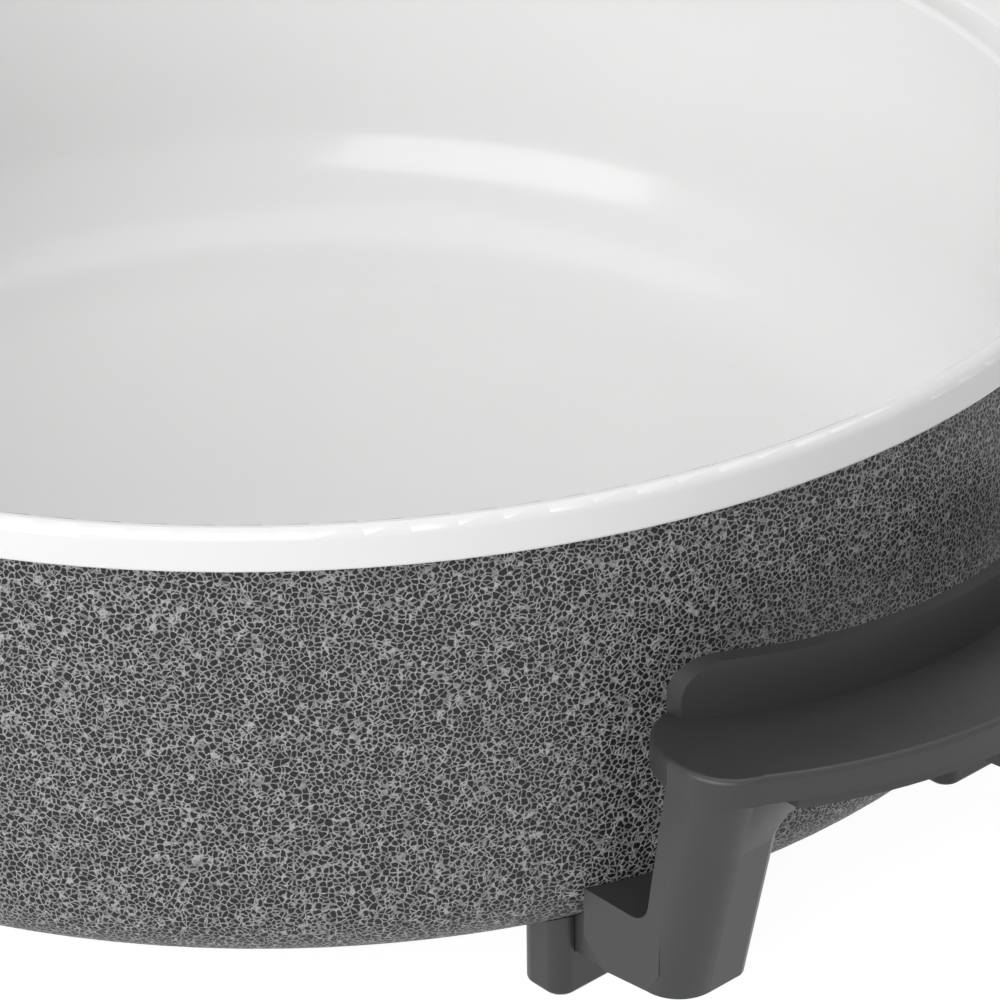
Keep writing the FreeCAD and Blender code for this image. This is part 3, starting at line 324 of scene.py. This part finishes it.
def soft_bar(shape, size, at, bevel):
    """A small bar with rounded edges, added to a bmesh."""
    made = bmesh.ops.create_cube(shape, size=1.0)
    bmesh.ops.scale(shape, vec=size, verts=made["verts"])
    edges = list({edge for vert in made["verts"] for edge in vert.link_edges})
    rounded = bmesh.ops.bevel(shape, geom=edges, offset=bevel, affect="EDGES", segments=3,
                              profile=0.5, material=-1)
    bmesh.ops.translate(shape, vec=at, verts=rounded["verts"])


DIAL_LOW, DIAL_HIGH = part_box("control_dial")
DIAL_MIDDLE = (DIAL_LOW + DIAL_HIGH) / 2
SKIRT_RUN = 4.5 * MM
SKIRT_DROP = 2.2 * MM
SETTING_STEP = 50.0
CASE_LOW, CASE_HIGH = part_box("control_case_top")
INDEX_GAP = 3.4 * MM
RIB_COUNT = 7
RIB_FIRST = 16 * MM
RIB_PITCH = 4 * MM
RIB_HEIGHT = 21.8 * MM


def dial_numbers():
    """Heat settings printed round the sloping skirt of the dial."""
    skirt_middle = 18.6 * MM
    slope = math.atan2(SKIRT_DROP, SKIRT_RUN)
    height = DIAL_LOW.z + 3.55 * MM
    for index, setting in enumerate("0123456"):
        curve = bpy.data.curves.new(f"setting_{setting}", "FONT")
        curve.body = setting
        curve.size = 3.4 * MM
        curve.extrude = 0.08 * MM
        curve.align_x = "CENTER"
        curve.align_y = "CENTER"
        lettered = bpy.data.objects.new(f"setting_{setting}", curve)
        mesh = bpy.data.meshes.new_from_object(lettered)
        bpy.data.objects.remove(lettered)
        turn = math.radians(SETTING_STEP * index)
        lean = Matrix.Rotation(-slope, 4, "X")
        out = Matrix.Translation((0, skirt_middle, 0))
        around = Matrix.Rotation(turn, 4, "Z")
        stand = Matrix.Translation((DIAL_MIDDLE.x, DIAL_MIDDLE.y, height))
        mesh.transform(stand @ around @ out @ lean)
        shape = bmesh.new()
        shape.from_mesh(mesh)
        finished(f"dial_number_{setting}", shape, "paint", "dial")


def case_index():
    """The raised mark on the case that the dial is read against."""
    shape = bmesh.new()
    at = (DIAL_MIDDLE.x, DIAL_HIGH.y + INDEX_GAP, CASE_HIGH.z + 0.1 * MM)
    soft_bar(shape, (1.6 * MM, 3.0 * MM, 0.5 * MM), at, 0.15 * MM)
    finished("case_index", shape, "paint", "control_probe")


def case_grip_ribs():
    """Finger ribs on both sides of the case, where it is pulled out of the guard."""
    shape = bmesh.new()
    for side in (CASE_LOW.x, CASE_HIGH.x):
        for step in range(RIB_COUNT):
            y = CASE_LOW.y + RIB_FIRST + RIB_PITCH * step
            soft_bar(shape, (1.2 * MM, 1.6 * MM, 7 * MM), (side, y, RIB_HEIGHT), 0.5 * MM)
    finished("case_grip_ribs", shape, "case", "control_probe")


def white_table():
    shape = bmesh.new()
    bmesh.ops.create_grid(shape, x_segments=1, y_segments=1, size=8.0)
    bmesh.ops.translate(shape, vec=(0, 0, -0.0004), verts=shape.verts)
    mesh = bpy.data.meshes.new("table")
    shape.to_mesh(mesh)
    shape.free()
    mesh.materials.append(table_top())
    table = bpy.data.objects.new("table", mesh)
    bpy.context.scene.collection.objects.link(table)


def white_room():
    """A white surround: plain light on the object, pure white where the camera sees it."""
    world = bpy.data.worlds.new("white_room")
    bpy.context.scene.world = world
    world.use_nodes = True
    tree = world.node_tree
    back = tree.nodes["Background"]
    back.inputs["Color"].default_value = grey(1.0)
    plain = 0.45
    feed(tree, plain + seen_by_eye(tree) * (1.0 - plain), back.inputs["Strength"])


def softbox(name, at, toward, size, power):
    data = bpy.data.lights.new(name, "AREA")
    data.shape = "RECTANGLE"
    data.size, data.size_y = size
    data.energy = power
    lamp = bpy.data.objects.new(name, data)
    lamp.location = at
    lamp.rotation_euler = (Vector(toward) - Vector(at)).to_track_quat("-Z", "Y").to_euler()
    bpy.context.scene.collection.objects.link(lamp)


def camera():
    eye = Vector((633.5, -514.3, 470.1)) * MM
    forward = Vector((-0.6518, 0.5868, -0.4804)).normalized()
    up = Vector((-0.3483, 0.3311, 0.877))
    right = forward.cross(up).normalized()
    up = right.cross(forward)
    data = bpy.data.cameras.new("camera")
    data.sensor_width = 36.0
    data.lens = 156.15
    data.clip_start = 0.01
    seen_from = bpy.data.objects.new("camera", data)
    turn = Matrix((right, up, -forward)).transposed().to_4x4()
    seen_from.matrix_world = Matrix.Translation(eye) @ turn
    bpy.context.scene.collection.objects.link(seen_from)
    bpy.context.scene.camera = seen_from


dress_cad_nodes()
dial_numbers()
case_index()
case_grip_ribs()
white_table()
white_room()
softbox("window_light", (0.4, -1.6, 0.85), (0, 0, 0.08), (1.8, 1.2), 22.0)
softbox("top_light", (-0.3, 0.1, 1.9), (0, 0, 0.1), (1.6, 1.6), 8.0)
camera()
bpy.context.scene.view_settings.view_transform = "Standard"
